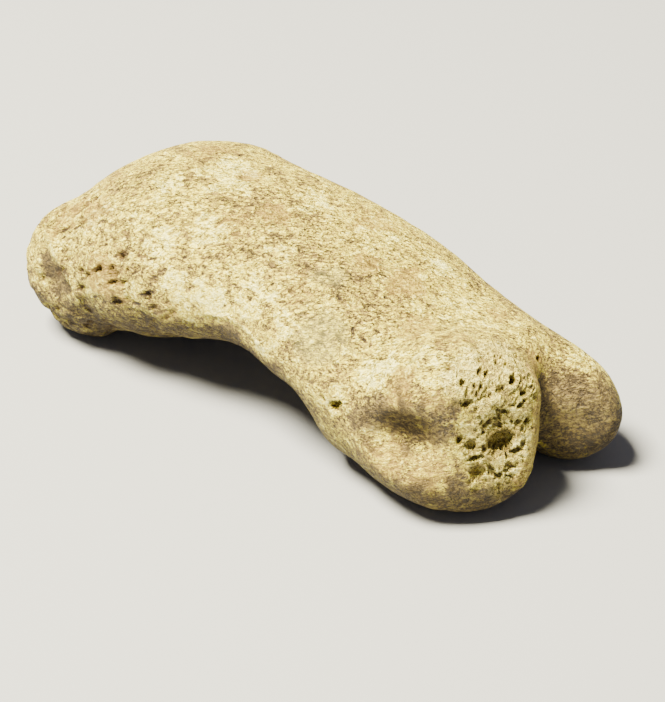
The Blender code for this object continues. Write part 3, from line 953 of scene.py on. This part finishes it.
def swung(tree, value, gain):
    """A pattern from 0 to 1 as a swing to either side of nothing."""
    return scaled(tree, maths(tree, "SUBTRACT", value, 0.5), gain)


def summed(tree, *values):
    """Patterns added up."""
    total = values[0]
    for value in values[1:]:
        total = maths(tree, "ADD", total, value)
    return total


def weighed(tree, patterns, swings, shifts):
    """Patterns added up, each by its own weight: swings go both ways, shifts only one."""
    return summed(
        tree,
        *[swung(tree, patterns[name], gain) for name, gain in swings.items()],
        *[scaled(tree, patterns[name], gain) for name, gain in shifts.items()],
    )


def lace_gaps(tree, place):
    """Gaps of the spongy bone's lace: the middles of bent cells, more open in some parts."""
    lace = add_node(tree, "ShaderNodeTexVoronoi", {
        "Vector": bent(tree, place, 0.0005, 0.0005), "Scale": 1.0 / LACE_CELL,
    }, feature="DISTANCE_TO_EDGE")
    opening = eased(tree, lace.outputs["Distance"], 0.05, 0.20)
    more_open = swung(tree, clouds(tree, place, LACE_PATCH, 2.0), 2.4)
    return eased(tree, summed(tree, opening, more_open), 0.45, 1.0)


def dark_specks(tree, grain):
    """Specks strewn one to a cell, in some of the cells only."""
    speck = add_node(tree, "ShaderNodeTexVoronoi", {
        "Vector": squeezed(tree, grain, 0.45), "Scale": 1.0 / SPECK_SPACING,
    })
    chosen = maths(tree, "GREATER_THAN", speck.outputs["Color"], 0.55)
    return maths(tree, "MULTIPLY", eased(tree, speck.outputs["Distance"], 0.08, 0.20, 1.0, 0.0), chosen)


def bone_patterns(tree, place, grain, bone_middle, facts):
    """The patterns of the finish by name: clouds from large to small, flakes, grit, wrinkles,
    fibres, specks, worn areas, the gaps of the spongy bone and the marks set one by one."""
    slanting = squeezed(tree, place, 0.5, FLAKE_SLANT)
    crooked = squeezed(tree, bent(tree, place, 0.0015, 0.0010), 0.58, FLAKE_SLANT)
    fibre = clouds(tree, squeezed(tree, grain, 0.18), FIBRE_SIZE, 4.0, 0.7)
    strewn = clouds(tree, squeezed(tree, grain, 0.7), STREWN_WORN_SIZE, 5.0, 0.65, 0.5)
    wrinkle = winding_line(tree, slanting, WRINKLE_SIZE, 0.026)
    broken_up = eased(tree, clouds(tree, place, 0.0011, 2.0), 0.44, 0.58)
    return {
        "broad": clouds(tree, squeezed(tree, grain, 0.6), BROAD_SIZE, 3.0, 0.6),
        "mottle": clouds(tree, squeezed(tree, grain, 0.75), MOTTLE_SIZE, 5.0, 0.7),
        "flakes": clouds(tree, crooked, FLAKE_SIZE, 4.0, 0.72),
        "grit": clouds(tree, squeezed(tree, place, 0.72, FLAKE_SLANT), GRIT_SIZE, 3.0, 0.78),
        "wrinkle": maths(tree, "MULTIPLY", wrinkle, broken_up),
        "fine_wrinkle": winding_line(tree, slanting, FINE_WRINKLE_SIZE, 0.035),
        "dark_fibre": eased(tree, fibre, 0.52, 0.68),
        "dark_speck": dark_specks(tree, grain),
        "strewn_worn": eased(tree, strewn, 0.56, 0.68),
        "gap": maths(tree, "MULTIPLY", lace_gaps(tree, place), facts["spongy"]),
        "dark_line": marks(tree, place, bone_middle, DARK_MARKS),
        "pale_line": marks(tree, place, bone_middle, PALE_MARKS),
    }


def bone_colour(tree, tone, ragged, facts):
    """The tone's colour, with rusty stains, and soil and painted shade, over it, whose edges are ragged,
    then the tints.
    """
    stained = eased(tree, maths(tree, "SUBTRACT", facts["stain"], ragged), 0.20, 0.85, 0.0, 0.62)
    # Soil and painted shade: darker brown in the hollows, on the lower edges, underneath and on the side
    # turned from the camera.
    soiled_and_shaded = eased(tree, maths(tree, "SUBTRACT", facts["soil_and_shade"], ragged), 0.0, 0.80, 0.0, 0.85)
    soil_and_shade = tint(tree, eased(tree, tone, 0.0, 0.62), SOIL_AND_SHADE_BROWN, SOIL_AND_SHADE_TAN)
    colour = tint(tree, stained, tone_scale(tree, tone), RUST)
    colour = tint(tree, soiled_and_shaded, colour, soil_and_shade)
    for name, share, over in TINTS:
        colour = tint(tree, scaled(tree, facts[name], share), colour, over)
    return colour


def fossil_bone_finish(bone_middle):
    """Dry, matt fossil bone: cream and tan clouds, flakes and grit under dark wrinkles and specks,
    with chalky worn patches, rusty stains, soil and painted shade in the hollows, on the lower edges and
    underneath, and lace in the spongy bone."""
    material = bpy.data.materials.new("fossil_bone")
    material.use_nodes = True
    tree = material.node_tree
    shader = tree.nodes["Principled BSDF"]
    place = add_node(tree, "ShaderNodeTexCoord").outputs["Object"]
    grain = add_node(tree, "ShaderNodeAttribute", attribute_name="grain").outputs["Vector"]
    facts = {
        name: add_node(tree, "ShaderNodeAttribute", attribute_name=name).outputs["Fac"]
        for name in ("spongy", "rim", "rough", "hollow", "pale", "stain", "grey", "soil_and_shade")
    }
    patterns = bone_patterns(tree, place, grain, bone_middle, facts) | facts
    ragged = weighed(tree, patterns, {"mottle": 1.3, "flakes": 1.1}, {})
    patterns["pale_patch"] = eased(tree, maths(tree, "ADD", facts["pale"], ragged), 0.25, 0.75)

    fine = weighed(tree, patterns, FINE_SWINGS, FINE_SHIFTS)
    # Fine contrast is stronger on rough bone and where soil and painted shade lie.
    rough_soil_and_shade = summed(tree, facts["rough"], facts["soil_and_shade"])
    contrast = eased(tree, rough_soil_and_shade, 0.0, 1.5, 1.0, 1.2)
    plain_tone = weighed(tree, patterns, TONE_SWINGS, TONE_SHIFTS)
    tone = summed(tree, MIDDLE_TONE, plain_tone, maths(tree, "MULTIPLY", fine, contrast))
    tree.links.new(bone_colour(tree, tone, ragged, facts), shader.inputs["Base Color"])

    roughness = eased(tree, patterns["grit"], 0.3, 0.7, 0.62, 0.85)
    tree.links.new(roughness, shader.inputs["Roughness"])
    height = weighed(tree, patterns, RELIEF_SWINGS, RELIEF_SHIFTS)
    smoother_rim = eased(tree, facts["rim"], 0.0, 1.0, 1.0, 0.5)
    bump = add_node(tree, "ShaderNodeBump", {
        "Strength": 1.0,
        "Distance": FINE_RELIEF_DEPTH,
        "Height": maths(tree, "MULTIPLY", height, smoother_rim),
    })
    tree.links.new(bump.outputs[0], shader.inputs["Normal"])
    shader.inputs["Specular IOR Level"].default_value = 0.3
    return material


def table_finish():
    """Plain pale card."""
    material = bpy.data.materials.new("pale_card")
    material.use_nodes = True
    shader = material.node_tree.nodes["Principled BSDF"]
    shader.inputs["Base Color"].default_value = TABLE_COLOUR
    shader.inputs["Roughness"].default_value = 0.9
    return material


# The pieces

def make_toe_bone():
    """The bone's skin, in place of the plain bone, with the facts for its finish on its points,
    and how far the middle of its box is off the source's own zero."""
    starts, directions = skin_spokes()
    smooth = skin_points(starts, directions)
    clipped = np.maximum(smooth, [-1.0, -1.0, 0.0])
    middle = (clipped.min(axis=0) + clipped.max(axis=0)) / 2 * [1.0, 1.0, 0.0]
    points, facts, grain = relief(smooth, outward(smooth))
    rings = RINGS_IN_BASE_FAN + RINGS_ALONG_CORE + RINGS_IN_HEAD_FAN
    mesh = bpy.data.meshes.new("toe_bone")
    mesh.from_pydata((points - middle).tolist(), [], skin_faces(rings).tolist())
    for name, values in facts.items():
        attribute = mesh.attributes.new(name, "FLOAT", "POINT")
        attribute.data.foreach_set("value", values.astype(np.float32))
    attribute = mesh.attributes.new("grain", "FLOAT_VECTOR", "POINT")
    attribute.data.foreach_set("vector", grain.astype(np.float32).ravel())
    mesh.materials.append(fossil_bone_finish(middle))
    mesh.shade_smooth()
    bone = bpy.data.objects.new("toe_bone", mesh)
    bpy.context.scene.collection.objects.link(bone)
    return bone, middle


def make_table():
    """A flat pale table top, just under the bone."""
    mesh = bpy.data.meshes.new("table_top")
    sides = [(-1, -1), (1, -1), (1, 1), (-1, 1)]
    corners = [(TABLE_HALF * x, TABLE_HALF * y, TABLE_LEVEL) for x, y in sides]
    mesh.from_pydata(corners, [], [(0, 1, 2, 3)])
    mesh.materials.append(table_finish())
    table = bpy.data.objects.new("table_top", mesh)
    bpy.context.scene.collection.objects.link(table)


def standing_at(place, away, roll):
    """Where something stands that looks along minus its own Z: its place and its three axes,
    with Z pointing away from what it looks at and X level, but for a roll."""
    level = np.cross([0.0, 0.0, 1.0], away)
    level = level / np.linalg.norm(level)
    above = np.cross(away, level)
    right = level * np.cos(roll) + above * np.sin(roll)
    up = above * np.cos(roll) - level * np.sin(roll)
    rows = np.eye(4)
    rows[:3, 0] = right
    rows[:3, 1] = up
    rows[:3, 2] = away
    rows[:3, 3] = place
    return Matrix(rows.tolist())


def make_lamp():
    """A soft square lamp over the table that faces the bone."""
    data = bpy.data.lights.new("overhead_lamp", "AREA")
    data.shape = "SQUARE"
    data.size = LAMP_SIZE
    data.energy = LAMP_POWER
    data.color = LAMP_COLOUR
    lamp = bpy.data.objects.new("overhead_lamp", data)
    bpy.context.scene.collection.objects.link(lamp)
    away = LAMP_PLACE - LAMP_AIM
    lamp.matrix_world = standing_at(LAMP_PLACE, away / np.linalg.norm(away), 0.0)


def make_camera(bone_middle):
    """The camera, at the photo's angle."""
    away = np.array([
        np.sin(VIEW_ROUND) * np.cos(VIEW_ABOVE),
        -np.cos(VIEW_ROUND) * np.cos(VIEW_ABOVE),
        np.sin(VIEW_ABOVE),
    ])
    axes = np.array(standing_at((0.0, 0.0, 0.0), away, VIEW_ROLL))
    looked_at = VIEW_MIDDLE + axes[:3, 0] * VIEW_SLIDE_RIGHT + axes[:3, 1] * VIEW_SLIDE_UP
    data = bpy.data.cameras.new("camera")
    data.sensor_width = SENSOR_SIZE
    data.lens = SENSOR_SIZE * PIXELS_PER_METRE * VIEW_DISTANCE / IMAGE_HEIGHT
    data.clip_start = 0.01
    camera = bpy.data.objects.new("camera", data)
    bpy.context.scene.collection.objects.link(camera)
    camera.matrix_world = standing_at(looked_at - bone_middle + away * VIEW_DISTANCE, away, VIEW_ROLL)
    bpy.context.scene.camera = camera


def make_daylight():
    """Even pale light from all round."""
    world = bpy.data.worlds.new("daylight")
    world.use_nodes = True
    background = world.node_tree.nodes["Background"]
    background.inputs["Color"].default_value = (*DAYLIGHT_COLOUR, 1.0)
    background.inputs["Strength"].default_value = DAYLIGHT_STRENGTH
    bpy.context.scene.world = world


toe_bone, toe_bone_middle = make_toe_bone()
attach(toe_bone, "root")
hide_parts("proximal_phalanx")
make_table()
make_lamp()
make_daylight()
make_camera(toe_bone_middle)
